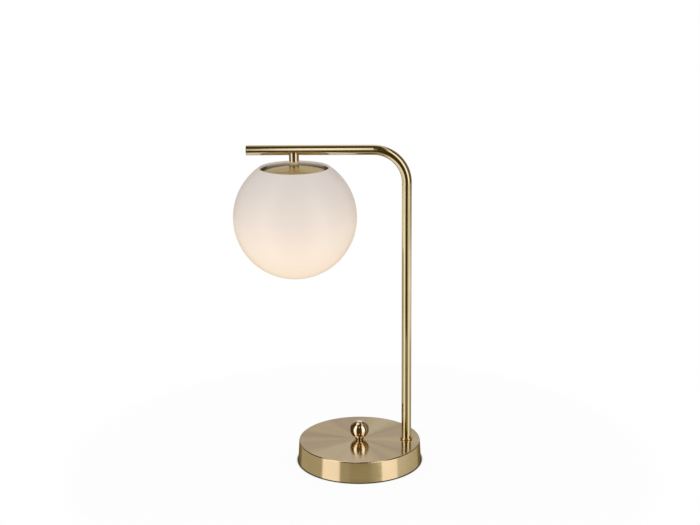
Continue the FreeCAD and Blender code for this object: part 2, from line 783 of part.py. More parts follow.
# Stem fixing: a hollow nipple screwed into the foot of the tube, pulled down by a nut and washer
# in the recess of the casting, so that the tube, cover and casting are clamped together.
def make_stem_fixing():
    washer_foot = nut_recess_top - size.washer_thickness
    nut_foot = washer_foot - size.nut_height
    nipple_foot = nut_foot - size.nipple_end
    nipple_top = size.base_height + size.nipple_grip
    nipple = spun("stem_nipple", tube_of(nipple_bore, nipple_radius, nipple_foot, nipple_top))
    keep(place(nipple, x=stem_offset), "stem_nipple")
    washer = spun("stem_washer", tube_of(nipple_hole, washer_radius, washer_foot, nut_recess_top))
    keep(place(washer, x=stem_offset), "stem_washer")
    hex_nut("stem_nut", nipple_radius, nut_foot, x=stem_offset)


# Dimmer: a moulded housing under a strip bracket on the casting, with a threaded bushing that the
# spindle turns in and a nut that clamps the bushing to the bracket.
dimmer_foot = plate_top + size.dimmer_foot_gap
bushing_top = size.base_height - size.bushing_sink
spindle_collar_radius = size.spindle_radius + size.spindle_collar_width
collar_room = spindle_collar_radius + size.play
collar_top = weight_top - size.play
collar_foot = collar_top - size.spindle_collar_height


def make_dimmer():
    half_length = size.dimmer_length / 2
    half_width = size.dimmer_width / 2
    housing = new_body("dimmer_body")
    footprint = outline(
        housing,
        "housing_outline",
        block(-half_length, -half_width, half_length, half_width),
        role="XY_Plane",
        lift=dimmer_foot,
    )
    pad(housing, footprint, weight_top - dimmer_foot)
    fillet(housing, size.dimmer_rounding, upright_edge)
    well = circles(housing, "spindle_well", [(ZERO, ZERO, spindle_bore)], lift=weight_top)
    pocket(housing, well, depth=weight_top - dimmer_foot - size.dimmer_floor)
    room = circles(housing, "collar_room", [(ZERO, ZERO, collar_room)], lift=weight_top)
    pocket(housing, room, depth=size.spindle_collar_height + size.play * 2)
    keep(housing, "dimmer_body")

    bushing = spun("dimmer_bushing", tube_of(spindle_bore, bushing_radius, weight_top, bushing_top))
    keep(bushing, "dimmer_bushing")

    bracket = new_body("dimmer_bracket")
    end = bracket_screw_circle + size.bracket_margin
    half_strip = size.bracket_width / 2
    strip = outline(
        bracket,
        "strip_outline",
        block(-end, -half_strip, end, half_strip),
        role="XY_Plane",
        lift=weight_top,
    )
    pad(bracket, strip, size.bracket_thickness)
    fillet(bracket, size.bracket_margin, upright_edge)
    holes = circles(
        bracket,
        "strip_holes",
        [
            (ZERO, ZERO, bushing_radius + size.thread_clearance),
            (bracket_screw_circle, ZERO, screw_hole),
            (-bracket_screw_circle, ZERO, screw_hole),
        ],
    )
    pocket(bracket, holes, both_ways=True)
    keep(place(bracket, turn=BRACKET_ANGLE), "dimmer_bracket")
    hex_nut("dimmer_nut", bushing_radius, bracket_top)


def pan_screw(name, length):
    """A small screw with a domed head, its head face at its origin and its point below."""
    crown = size.screw_head_height / 2
    head = screw_head_radius
    return spun(
        name,
        [
            (ZERO, -length),
            (size.screw_radius, -length),
            (size.screw_radius, ZERO),
            (head, ZERO),
            (head, crown),
            (ZERO, size.screw_head_height),
        ],
        arcs={4: ((head * head + crown * crown) / (crown * 2), 1)},
    )


def make_bracket_screws():
    screws = []
    for number, (x, y) in enumerate(bracket_screw_places):
        screw = pan_screw(f"bracket_screw_{number}", size.bracket_screw_length)
        screws.append(place(screw, x=x, y=y, z=bracket_top))
    group("bracket_screws", screws)


# Spindle and ball knob: a steel spindle with a flat, and a turned brass ball that a grub screw
# holds on it from the back.
knob_foot = size.base_height + size.knob_gap
spindle_top = knob_foot + size.spindle_grip
knob_boss_radius = spindle_bore + size.knob_boss_wall
ball_foot_drop = beside(size.knob_radius, knob_boss_radius)
knob_centre = knob_foot + size.knob_boss_height + ball_foot_drop
grub_radius = size.screw_radius - size.thread_clearance


def make_spindle():
    spindle_foot = dimmer_foot + size.dimmer_floor + size.play
    body = spun(
        "dimmer_spindle",
        [
            (ZERO, spindle_foot),
            (size.spindle_radius, spindle_foot),
            (size.spindle_radius, collar_foot),
            (spindle_collar_radius, collar_foot),
            (spindle_collar_radius, collar_top),
            (size.spindle_radius, collar_top),
            (size.spindle_radius, spindle_top),
            (ZERO, spindle_top),
        ],
    )
    wide = size.spindle_radius + size.overrun
    flat = outline(
        body,
        "spindle_flat",
        block(-wide, size.spindle_radius - size.spindle_flat, wide, wide),
        role="XY_Plane",
        lift=spindle_top,
    )
    pocket(body, flat, depth=size.spindle_grip - size.overrun)
    return keep(body, "dimmer_spindle")


def make_ball_knob():
    bore_top = spindle_top + size.play
    body = spun(
        "ball_knob",
        [
            (spindle_bore, knob_foot),
            (knob_boss_radius, knob_foot),
            (knob_boss_radius, knob_foot + size.knob_boss_height),
            (size.knob_radius, knob_centre),
            (ZERO, knob_centre + size.knob_radius),
            (ZERO, bore_top),
            (spindle_bore, bore_top),
        ],
        arcs={2: (size.knob_radius, 1), 3: (size.knob_radius, 1)},
    )
    grub_hole = circles(
        body, "grub_hole", [(ZERO, knob_centre, size.screw_radius)], role="XZ_Plane"
    )
    pocket(body, grub_hole)
    keep(body, "ball_knob")

    grub_start = size.spindle_radius - size.spindle_flat + size.thread_clearance
    grub_end = size.knob_radius - size.overrun
    socket = size.screw_radius / 2
    grub = spun(
        "knob_grub_screw",
        [
            (ZERO, grub_start),
            (grub_radius - socket / 2, grub_start),
            (grub_radius, grub_start + socket / 2),
            (grub_radius, grub_end),
            (ZERO, grub_end),
        ],
    )
    key = outline(grub, "grub_socket", hexagon(socket * 2), role="XY_Plane", lift=grub_end)
    pocket(grub, key, depth=size.screw_radius)
    place(grub, z=knob_centre, axis=(1, 0, 0), turn=-SQUARE_TURN)
    return keep(grub, "knob_grub_screw")


# Terminal block: a moulded two-way block screwed to the base plate, where the mains cord ends.
terminal_wire = plate_top + size.terminal_wire_height
terminal_top = plate_top + size.terminal_height


def make_terminal_block():
    half_length = size.terminal_length / 2
    half_width = size.terminal_width / 2
    half_pitch = size.terminal_pitch / 2
    body = new_body("terminal_block")
    footprint = outline(
        body,
        "terminal_outline",
        block(
            -half_length, size.terminal_offset - half_width, half_length, size.terminal_offset + half_width
        ),
        role="XY_Plane",
        lift=plate_top,
    )
    pad(body, footprint, size.terminal_height)
    fillet(body, size.terminal_rounding, upright_edge)
    ways = [(half_pitch * sign, terminal_wire) for sign in (-1, 1)]
    wire_bore = size.wire_radius + size.hole_clearance
    bores = circles(body, "wire_bores", [(x, z, wire_bore) for x, z in ways], role="XZ_Plane")
    pocket(body, bores, both_ways=True)
    wells = circles(
        body,
        "screw_wells",
        [
            (half_pitch * sign, size.terminal_offset, size.terminal_screw_radius + size.thread_clearance)
            for sign in (-1, 1)
        ],
        lift=terminal_top,
    )
    pocket(body, wells, depth=size.terminal_height - size.terminal_wire_height)
    fixing = circles(
        body,
        "fixing_hole",
        [(ZERO, size.terminal_offset, screw_hole)],
    )
    pocket(body, fixing, both_ways=True)
    keep(body, "terminal_block")

    screws = []
    slot_depth = size.terminal_screw_radius / 2
    for number, sign in enumerate((-1, 1)):
        foot = terminal_wire + size.wire_radius + size.thread_clearance
        screw = spun(f"terminal_screw_{number}", block(ZERO, foot, size.terminal_screw_radius, terminal_top))
        half_slot = slot_depth / 2
        slot = outline(
            screw,
            f"driver_slot_{number}",
            block(-size.terminal_screw_radius, -half_slot, size.terminal_screw_radius, half_slot),
            role="XY_Plane",
            lift=terminal_top,
        )
        pocket(screw, slot, depth=slot_depth)
        screws.append(place(screw, x=half_pitch * sign, y=size.terminal_offset))
    group("terminal_screws", screws)

    fixing_screw = pan_screw("terminal_fixing", size.terminal_height + size.plate_thickness)
    keep(place(fixing_screw, y=size.terminal_offset, z=terminal_top), "terminal_fixing")


# Wires and lamp lead. The two wires join the terminal block to the dimmer. The sheathed lead runs
# from the dimmer through the stem nipple, up the tube, along the arm and down the neck.
VOLUME_TOLERANCE_SHARE = 0.01
LEAD_BEND_SHARE = 2.2


def smooth_path(points, radii):
    """Straight runs joined by tangent arcs, one radius for each inner point."""
    edges = []
    start = points[0]
    for before, corner, after, radius in zip(points, points[1:], points[2:], radii):
        back = (before - corner).normalize()
        onward = (after - corner).normalize()
        half_turn = (math.pi - back.getAngle(onward)) / 2
        setback = radius * math.tan(half_turn)
        first = corner + back * setback
        last = corner + onward * setback
        toward_centre = (back + onward).normalize()
        middle = corner + toward_centre * (radius / math.cos(half_turn) - radius)
        edges.append(Part.LineSegment(start, first).toShape())
        edges.append(Part.Arc(first, middle, last).toShape())
        start = last
    edges.append(Part.LineSegment(start, points[-1]).toShape())
    return Part.Wire(edges)


def round_sweep(path, radius):
    """A round rod along a path, and a check of its volume against its length."""
    start = path.Vertexes[0].Point
    heading = path.Edges[0].tangentAt(path.Edges[0].FirstParameter)
    ring = Part.Wire(Part.makeCircle(radius, start, heading))
    rod = path.makePipeShell([ring], True, True)
    expected = math.pi * radius**2 * path.Length
    assert abs(rod.Volume - expected) < expected * VOLUME_TOLERANCE_SHARE, "swept rod has lost volume"
    return rod


def made_shape(name, shape, x=0.0, y=0.0, z=0.0, turn=0.0):
    """A piece whose shape is made directly, then placed."""
    thing = doc.addObject("Part::Feature", name)
    thing.Shape = shape
    thing.Placement = FreeCAD.Placement(
        FreeCAD.Vector(x, y, z), FreeCAD.Rotation(FreeCAD.Vector(0, 0, 1), turn)
    )
    return keep(thing, name)


def make_wires():
    start = (size.dimmer_width / 2).value
    bore_end = (size.terminal_offset - size.terminal_width / 2).value
    rods = []
    for sign in (-1, 1):
        x = (size.terminal_pitch / 2).value * sign
        level = terminal_wire.value
        path = Part.Wire(
            [Part.LineSegment(FreeCAD.Vector(x, start, level), FreeCAD.Vector(x, bore_end, level)).toShape()]
        )
        rods.append(round_sweep(path, size.wire_radius.value))
    made_shape("switch_wires", Part.makeCompound(rods))


def make_lamp_lead():
    side = (size.dimmer_length / 2).value
    stem = stem_offset.value
    neck = -size.neck_offset.value
    low = lead_level.value
    high = (size.arm_height + tube_bore - size.lead_radius - size.lead_gap).value
    end = (holder_top - size.holder_entry_height - size.holder_wall).value
    points = [
        FreeCAD.Vector(side, 0, low),
        FreeCAD.Vector(stem, 0, low),
        FreeCAD.Vector(stem, 0, high),
        FreeCAD.Vector(neck, 0, high),
        FreeCAD.Vector(neck, 0, end),
    ]
    neck_bend = (tube_bore * LEAD_BEND_SHARE).value
    radii = [size.lead_foot_bend.value, size.bend_radius.value, neck_bend]
    path = smooth_path(points, radii)
    print("lamp lead length", round(path.Length, 1), "bends", radii)
    made_shape("lamp_lead", round_sweep(path, size.lead_radius.value))


# Neck: a short tube, hollowed at its top to saddle the arm, where it is brazed. A hollow nipple in
# its foot carries the dome, the spring plate and the lampholder.
def make_neck():
    nipple_top = dome_top + size.nipple_grip
    blank = spun(
        "neck_blank",
        [
            (nipple_thread, dome_top),
            (neck_radius, dome_top),
            (neck_radius, size.arm_height),
            (neck_bore, size.arm_height),
            (neck_bore, nipple_top),
            (nipple_thread, nipple_top),
        ],
    )
    place(blank, x=-size.neck_offset)
    saddle = doc.addObject("Part::Cylinder", "arm_saddle")
    bind(saddle, Radius=tube_radius + size.thread_clearance, Height=neck_radius * 4)
    start = -size.neck_offset - neck_radius * 2
    place(saddle, x=start, z=size.arm_height, axis=(0, 1, 0), turn=SQUARE_TURN)
    keep(cut_away("neck_tube", blank, saddle), "neck_tube")

    nipple_foot = holder_top - size.holder_entry_height
    nipple = spun(
        "neck_nipple",
        tube_of(nipple_bore, nipple_radius, nipple_foot, nipple_top),
    )
    keep(place(nipple, x=-size.neck_offset), "neck_nipple")


# Dome: spun brass, sunk in the mouth of the glass, with a flat seat for the neck at its top and a
# turned-down edge. A nut under it draws it up against the neck.
def make_dome():
    inside = dome_radius - size.dome_wall
    hub = neck_radius + size.dome_hub_margin
    crown_radius = (dome_radius * dome_radius + size.dome_rise * size.dome_rise) / (
        size.dome_rise * 2
    )
    body = spun(
        "dome_cap",
        [
            (nipple_hole, dome_top - size.dome_wall),
            (hub, dome_top - size.dome_wall),
            (inside, dome_edge_height - size.dome_wall),
            (inside, dome_edge_height - size.dome_edge),
            (dome_radius, dome_edge_height - size.dome_edge),
            (dome_radius, dome_edge_height),
            (hub, dome_top),
            (nipple_hole, dome_top),
        ],
        arcs={1: (crown_radius, -1), 5: (crown_radius, 1)},
    )
    fillet(body, size.dome_wall / 2, ring_edge(dome_radius, dome_edge_height))
    keep(place(body, x=-size.neck_offset), "dome_cap")
    hex_nut("dome_nut", nipple_radius, dome_nut_foot, x=-size.neck_offset)


# Globe carrier: a steel disc on the nipple with three riveted strip springs. Each spring dips under
# the edge of the dome and hooks up behind the mouth of the glass, so that the globe hangs on them.
SPRING_COUNT = 3
SPRING_FIRST_ANGLE = 30.0
WINDOW_CIRCLE_SHARE = 0.8
spring_angles = [SPRING_FIRST_ANGLE + FULL_TURN * number / SPRING_COUNT for number in range(SPRING_COUNT)]


def make_spring_plate():
    body = spun(
        "spring_plate",
        tube_of(nipple_hole, size.spring_plate_radius, spring_plate_foot, dome_nut_foot),
    )
    hole = size.rivet_radius + size.thread_clearance
    places = turned_places(rivet_circle, SPRING_COUNT, SPRING_FIRST_ANGLE)
    pocket(body, circles(body, "rivet_holes", [(x, y, hole) for x, y in places]), both_ways=True)
    between = turned_places(rivet_circle * WINDOW_CIRCLE_SHARE, SPRING_COUNT, -SPRING_FIRST_ANGLE)
    windows = circles(body, "plate_windows", [(x, y, size.spring_width / 2) for x, y in between])
    pocket(body, windows, both_ways=True)
    keep(place(body, x=-size.neck_offset), "spring_plate")
    hex_nut("plate_nut", nipple_radius, plate_nut_foot, x=-size.neck_offset)


def make_globe_springs():
    half = size.spring_thickness.value / 2
    level = spring_plate_foot.value - half
    dip = level - size.spring_drop.value
    centre = globe_centre.value
    reach = glass_inside.value - half - size.play.value
    tip_x = (size.mouth_radius + size.spring_grip).value
    tip_z = centre + math.sqrt(reach**2 - tip_x**2)
    curl_x = tip_x - size.spring_lip.value
    curl_z = centre + math.sqrt(reach**2 - curl_x**2)
    under_edge = dome_radius.value
    knee = (size.spring_plate_radius + size.spring_overhang).value
    slope = size.spring_drop.value
    points = [
        FreeCAD.Vector((rivet_circle - size.spring_tail).value, 0, level),
        FreeCAD.Vector(knee, 0, level),
        FreeCAD.Vector(knee + slope / 2, 0, dip),
        FreeCAD.Vector(under_edge + size.spring_grip.value, 0, dip),
        FreeCAD.Vector(tip_x, 0, tip_z),
        FreeCAD.Vector(curl_x, 0, curl_z),
    ]
    bend = size.spring_bend.value + half
    path = smooth_path(points, [bend, bend, bend, half * 2])
    overrun = size.overrun.value
    hole = Part.makeCylinder(
        (size.rivet_radius + size.thread_clearance).value,
        (half + overrun) * 2,
        FreeCAD.Vector(rivet_circle.value, 0, level - half - overrun),
    )
    half_width = size.spring_width.value / 2
    start = points[0]
    section = Part.makePolygon(
        [
            start + FreeCAD.Vector(0, -half_width, -half),
            start + FreeCAD.Vector(0, half_width, -half),
            start + FreeCAD.Vector(0, half_width, half),
            start + FreeCAD.Vector(0, -half_width, half),
            start + FreeCAD.Vector(0, -half_width, -half),
        ]
    )
    strip = path.makePipeShell([section], True, False).cut(hole)
    for number, angle in enumerate(spring_angles, start=1):
        made_shape(f"globe_spring_{number}", strip, x=-size.neck_offset.value, turn=angle)


def make_spring_rivets():
    rivets = []
    head = rivet_head_radius
    rise = size.rivet_head_height
    crown = (head * head + rise * rise) / (rise * 2)
    low = spring_plate_foot - size.spring_thickness
    for number, (x, y) in enumerate(turned_places(rivet_circle, SPRING_COUNT, SPRING_FIRST_ANGLE)):
        rivet = spun(
            f"spring_rivet_{number}",
            [
                (ZERO, low - rise),
                (head, low),
                (size.rivet_radius, low),
                (size.rivet_radius, dome_nut_foot),
                (head, dome_nut_foot),
                (ZERO, dome_nut_foot + rise),
            ],
            arcs={0: (crown, 1), 4: (crown, 1)},
        )
        rivets.append(place(rivet, x=x - size.neck_offset, y=y))
    group("spring_rivets", rivets)


# Lampholder: a moulded cap screwed to the nipple, a moulded body, a brass screw shell for the bulb
# and a centre contact.
def make_lampholder():
    entry_foot = holder_top - size.holder_entry_height
    entry_radius = nipple_thread + size.holder_entry_wall
    shoulder = entry_foot - (size.holder_radius - entry_radius)
    inside = size.holder_radius - size.holder_wall
    cap = spun(
        "holder_cap",
        [
            (nipple_thread, holder_top),
            (nipple_thread, entry_foot),
            (entry_radius - size.holder_wall, entry_foot),
            (inside, shoulder - size.holder_wall / 2),
            (inside, holder_joint),
            (size.holder_radius, holder_joint),
            (size.holder_radius, shoulder),
            (entry_radius, entry_foot),
            (entry_radius, holder_top),
        ],
        arcs={
            2: (size.holder_radius, 1),
            6: (size.holder_radius - entry_radius, 1),
        },
    )
    keep(place(cap, x=-size.neck_offset), "holder_cap")

    web_foot = holder_joint - size.holder_web
    body = spun(
        "holder_body",
        [
            (size.lead_radius + size.play, web_foot),
            (holder_bore_radius, web_foot),
            (holder_bore_radius, holder_foot),
            (size.holder_radius - size.holder_wall / 2, holder_foot),
            (size.holder_radius, holder_foot + size.holder_wall / 2),
            (size.holder_radius, holder_joint),
            (size.lead_radius + size.play, holder_joint),
        ],
    )
    keep(place(body, x=-size.neck_offset), "holder_body")

    shell_foot = holder_foot + size.play
    shell = spun(
        "screw_shell",
        [
            (screw_shell_radius, shell_foot),
            (holder_bore_radius - size.play, shell_foot),
            (holder_bore_radius - size.play, shell_foot + size.screw_shell_wall),
            (screw_shell_radius + size.screw_shell_wall, shell_foot + size.screw_shell_wall * 2),
            (screw_shell_radius + size.screw_shell_wall, shell_foot + size.screw_shell_length),
            (screw_shell_radius, shell_foot + size.screw_shell_length),
        ],
    )
    keep(place(shell, x=-size.neck_offset), "screw_shell")

    contact = new_body("centre_contact")
    half_length = size.contact_length / 2
    half_width = size.contact_width / 2
    strip = outline(
        contact,
        "contact_outline",
        block(-half_length, -half_width, half_length, half_width),
        role="XY_Plane",
        lift=contact_face,
    )
    pad(contact, strip, size.contact_thickness)
    fillet(contact, size.contact_thickness, upright_edge)
    keep(place(contact, x=-size.neck_offset), "centre_contact")


# Bulb: a golf-ball lamp with a small screw cap. An opal envelope sits in a plastic collar, which
# holds the light board and carries the threaded cap, its black insulator and the contact button.
THREAD_RIDGES = 5


def make_bulb():
    envelope_centre = bulb_bottom + size.bulb_radius
    shoulder = envelope_centre + beside(size.bulb_radius, size.bulb_shoulder_radius)
    inner_radius = size.bulb_radius - size.bulb_wall
    inner_shoulder = size.bulb_shoulder_radius - size.bulb_wall
    inner_edge = envelope_centre + beside(inner_radius, inner_shoulder)
    envelope = spun(
        "bulb_envelope",
        [
            (ZERO, bulb_bottom),
            (size.bulb_radius, envelope_centre),
            (size.bulb_shoulder_radius, shoulder),
            (inner_shoulder, shoulder),
            (inner_shoulder, inner_edge),
            (inner_radius, envelope_centre),
            (ZERO, bulb_bottom + size.bulb_wall),
        ],
        arcs={
            0: (size.bulb_radius, 1),
            1: (size.bulb_radius, 1),
            4: (inner_radius, -1),
            5: (inner_radius, -1),
        },
    )
    keep(place(envelope, x=-size.neck_offset), "bulb_envelope")

    cap_top = bulb_top - size.bulb_contact_height - size.bulb_insulator_height
    root = size.bulb_cap_radius - size.bulb_thread_depth
    cap_inside = root - size.bulb_cap_wall
    thread_foot = cap_top - size.bulb_thread_pitch * THREAD_RIDGES
    cap_foot = thread_foot - size.bulb_cap_skirt
    quarter = size.bulb_thread_pitch / 4
    thread = []
    for ridge in range(THREAD_RIDGES):
        low = thread_foot + size.bulb_thread_pitch * ridge
        thread.append((root, low))
        thread.append((size.bulb_cap_radius, low + quarter))
        thread.append((size.bulb_cap_radius, low + quarter * 2))
        thread.append((root, low + quarter * 3))
    cap = spun(
        "bulb_cap",
        [(cap_inside, cap_foot), (size.bulb_cap_radius, cap_foot)]
        + [(size.bulb_cap_radius, thread_foot - quarter)]
        + thread
        + [(root, cap_top), (cap_inside, cap_top)],
    )
    keep(place(cap, x=-size.neck_offset), "bulb_cap")

    insulator = spun(
        "bulb_insulator",
        [
            (ZERO, cap_top),
            (root, cap_top),
            (size.bulb_contact_radius, cap_top + size.bulb_insulator_height),
            (ZERO, cap_top + size.bulb_insulator_height),
        ],
    )
    keep(place(insulator, x=-size.neck_offset), "bulb_insulator")
    rise = size.bulb_contact_height
    button = spun(
        "bulb_contact",
        [
            (ZERO, bulb_top - rise),
            (size.bulb_contact_radius, bulb_top - rise),
            (ZERO, bulb_top),
        ],
        arcs={
            1: (
                (size.bulb_contact_radius * size.bulb_contact_radius + rise * rise) / (rise * 2),
                1,
            )
        },
    )
    keep(place(button, x=-size.neck_offset), "bulb_contact")

    collar_inside = size.bulb_shoulder_radius - size.bulb_collar_wall
    board_foot = shoulder
    board_top = board_foot + size.led_board_thickness
    collar_top = cap_foot + size.bulb_cap_skirt / 2
    plug = cap_inside - size.thread_clearance
    neck = size.bulb_cap_radius
    collar = spun(
        "bulb_collar",
        [
            (collar_inside, shoulder),
            (size.bulb_shoulder_radius, shoulder),
            (neck, holder_foot - size.bulb_neck_gap),
            (neck, cap_foot),
            (plug, cap_foot),
            (plug, collar_top),
            (ZERO, collar_top),
            (ZERO, board_top + size.bulb_collar_wall),
            (collar_inside, board_top + size.bulb_collar_wall / 2),
        ],
        arcs={1: (size.bulb_radius, 1)},
    )
    keep(place(collar, x=-size.neck_offset), "bulb_collar")
    board = spun(
        "bulb_light_board",
        block(ZERO, board_foot, collar_inside - size.thread_clearance, board_top),
    )
    keep(place(board, x=-size.neck_offset), "bulb_light_board")


# Globe: one blown opal ball with a round mouth at the top and a melted rim.
def make_globe():
    outer_mouth = globe_centre + beside(globe_radius, size.mouth_radius)
    inner_mouth = globe_centre + beside(glass_inside, size.mouth_radius)
    body = spun(
        "globe_glass",
        [
            (ZERO, globe_centre - globe_radius),
            (globe_radius, globe_centre),
            (size.mouth_radius, outer_mouth),
            (size.mouth_radius, inner_mouth),
            (glass_inside, globe_centre),
            (ZERO, globe_centre - glass_inside),
        ],
        arcs={
            0: (globe_radius, 1),
            1: (globe_radius, 1),
            3: (glass_inside, -1),
            4: (glass_inside, -1),
        },
    )
    fillet(
        body,
        size.rim_rounding,
        lambda edge: ring_edge(size.mouth_radius, outer_mouth)(edge)
        or ring_edge(size.mouth_radius, inner_mouth)(edge),
    )
    return keep(place(body, x=-size.neck_offset), "globe_glass")


make_base_shell()
make_base_floor()
make_plate_screws()
make_base_weight()
make_cord_bush()
make_stem_tube()
make_arm_end_plug()
make_foot_collar()
make_stem_fixing()
make_dimmer()
make_bracket_screws()
make_spindle()
make_ball_knob()
make_terminal_block()
make_wires()
make_lamp_lead()
make_neck()
make_dome()
make_spring_plate()
make_globe_springs()
make_spring_rivets()
make_lampholder()
make_bulb()
make_globe()
doc.recompute()

# Every feature and every piece is checked before any piece is written.
for thing in doc.Objects:
    failed = [state for state in thing.State if state in ("Invalid", "Error")]
    assert not failed, f"{thing.Label}: {failed}"
for piece in parts:
    assert not piece.Shape.isNull() and piece.Shape.isValid(), f"{piece.Label}: bad shape"
    assert piece.Shape.Solids, f"{piece.Label}: no solid"
for piece in parts:
    piece.Shape.exportStep(f"parts/{piece.Label}.step")
    print(piece.Label, len(piece.Shape.Solids), round(piece.Shape.Volume, 1))
print(len(parts), "pieces")
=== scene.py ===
import math
from collections import namedtuple

import bpy
from mathutils import Matrix, Vector


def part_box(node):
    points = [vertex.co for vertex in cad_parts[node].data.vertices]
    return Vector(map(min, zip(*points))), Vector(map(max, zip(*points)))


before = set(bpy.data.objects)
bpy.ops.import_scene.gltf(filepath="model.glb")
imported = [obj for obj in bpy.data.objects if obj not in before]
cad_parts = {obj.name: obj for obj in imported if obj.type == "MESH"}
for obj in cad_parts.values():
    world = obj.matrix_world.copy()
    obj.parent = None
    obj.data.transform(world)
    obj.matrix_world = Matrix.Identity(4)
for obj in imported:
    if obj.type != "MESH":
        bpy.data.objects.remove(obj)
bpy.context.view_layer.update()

# Camera: a long lens at the height of someone who stands in front of the table and looks down a
# little at the lamp. Lengths are metres, angles radians, and the picture is 700 pixels wide.
PICTURE_WIDTH = 700
FOCAL_PIXELS = 1436
SENSOR_WIDTH = 36.0
CAMERA_DISTANCE = 1.6879
CAMERA_HEIGHT = 0.7216
CAMERA_SIDE = 0.0175
CAMERA_TURN = 0.006
CAMERA_PITCH = 0.2685
CAMERA_ROLL = -0.0085
LOOKING_LEVEL = math.pi / 2

bpy.ops.object.camera_add()
camera = bpy.context.object
camera.name = "camera"
camera.data.sensor_width = SENSOR_WIDTH
camera.data.sensor_fit = "HORIZONTAL"
camera.data.lens = FOCAL_PIXELS / PICTURE_WIDTH * SENSOR_WIDTH
camera_x = CAMERA_DISTANCE * math.sin(CAMERA_SIDE)
camera_y = -CAMERA_DISTANCE * math.cos(CAMERA_SIDE)
camera.matrix_world = (
    Matrix.Translation(Vector((camera_x, camera_y, CAMERA_HEIGHT)))
    @ Matrix.Rotation(CAMERA_SIDE + CAMERA_TURN, 4, "Z")
    @ Matrix.Rotation(LOOKING_LEVEL - CAMERA_PITCH, 4, "X")
    @ Matrix.Rotation(CAMERA_ROLL, 4, "Z")
)
bpy.context.scene.camera = camera
bpy.context.scene.view_settings.view_transform = "Standard"


# Studio: a white room with even light. Metal mirrors soft panels in it: a tall light box at each
# side in front, a strip over the camera, two along the dark ceiling and a grey wall behind. Angles
# are degrees: sideways from the lamp's front, the picture's right positive, and up from level.
def node(tree, kind, out=0, inputs=None, **settings):
    """One shader node: its settings, what goes into it, and the output asked for."""
    made = tree.nodes.new("ShaderNode" + kind)
    for name, value in settings.items():
        setattr(made, name, value)
    for name, value in (inputs or {}).items():
        if isinstance(value, bpy.types.NodeSocket):
            tree.links.new(value, made.inputs[name])
        else:
            made.inputs[name].default_value = value
    return made.outputs[out]


def maths(tree, operation, first, second=0.0):
    return node(tree, "Math", operation=operation, inputs={0: first, 1: second})


def spread(tree, value, low, high, at_low, at_high):
    """A value carried over from one range to another, eased at both ends."""
    return node(
        tree,
        "MapRange",
        interpolation_type="SMOOTHSTEP",
        inputs={0: value, 1: low, 2: high, 3: at_low, 4: at_high},
    )


def rising(tree, value, place, width):
    """0 before a place and 1 past it, with a soft step of that width between them."""
    return spread(tree, value, place - width / 2, place + width / 2, 0.0, 1.0)


def falling(tree, value, place, width):
    """1 before a place and 0 past it, with a soft step of that width between them."""
    return spread(tree, value, place - width / 2, place + width / 2, 1.0, 0.0)


def between(tree, share, first, second):
    """A number between two others."""
    return node(tree, "Mix", data_type="FLOAT", inputs={0: share, 2: first, 3: second})


def tint_between(tree, share, first, second):
    """A colour between two others."""
    return node(tree, "Mix", out=2, data_type="RGBA", inputs={0: share, 6: first, 7: second})


def colours(tree, share, stops):
    """A colour ramp: pairs of a share and a colour."""
    made = node(tree, "ValToRGB", inputs={0: share}).node
    ramp = made.color_ramp
    while len(ramp.elements) < len(stops):
        ramp.elements.new(1.0)
    for element, (position, colour) in zip(ramp.elements, stops):
        element.position = position
        element.color = (*colour, 1.0)
    return made.outputs[0]


Panel = namedtuple("Panel", "across up centre half_width foot top brightness edge fade")


def hang(tree, level, panels):
    """Paints panels with soft edges on a level of light, each over the ones before it."""
    for panel in panels.values():
        off = maths(tree, "ABSOLUTE", maths(tree, "SUBTRACT", panel.across, panel.centre))
        inside = falling(tree, off, panel.half_width, panel.edge)
        over_foot = rising(tree, panel.up, panel.foot, panel.fade)
        under_top = falling(tree, panel.up, panel.top, panel.fade)
        share = maths(tree, "MULTIPLY", inside, maths(tree, "MULTIPLY", over_foot, under_top))
        level = between(tree, share, level, panel.brightness)
    return level


world = bpy.data.worlds.new("studio")
bpy.context.scene.world = world
world.use_nodes = True
world.cycles.sampling_method = "NONE"
room = world.node_tree
direction = node(room, "TexCoord", out="Generated")
toward = node(room, "SeparateXYZ", inputs={0: direction}).node
to_right, behind, upward = (toward.outputs[axis] for axis in "XYZ")
in_front = maths(room, "MULTIPLY", behind, -1.0)
side = maths(room, "DEGREES", maths(room, "ARCTAN2", to_right, in_front))
rise = maths(room, "DEGREES", maths(room, "ARCSINE", upward))
off_front = maths(room, "ABSOLUTE", side)

# The low part of the room is what the tube, the neck and the skirt of the cover mirror.
low_panels = {
    "dark behind": Panel(off_front, rise, 180.0, 40.0, -40.0, -20.5, 0.12, edge=12.0, fade=2.0),
    "left wall": Panel(side, rise, -102.0, 56.0, -14.0, 0.0, 0.66, edge=8.0, fade=3.0),
    "foot of left wall": Panel(side, rise, -90.0, 34.0, -16.5, -14.0, 0.42, edge=8.0, fade=2.0),
    "right wall": Panel(side, rise, 106.0, 32.0, -18.3, -14.5, 0.75, edge=6.0, fade=1.2),
    "dark in front": Panel(side, rise, 2.0, 20.0, -40.0, -18.3, 0.16, edge=10.0, fade=1.0),
    "left box": Panel(side, rise, -54.0, 18.0, -70.0, 0.0, 0.98, edge=4.0, fade=6.0),
    "right box": Panel(side, rise, 58.5, 16.5, -70.0, -14.5, 1.0, edge=5.0, fade=2.0),
    "top of right box": Panel(side, rise, 56.0, 20.0, -14.5, 0.0, 0.8, edge=4.0, fade=2.0),
}
floor_level = spread(room, rise, low=-90.0, high=-45.0, at_low=0.12, at_high=0.38)
low = hang(room, floor_level, low_panels)

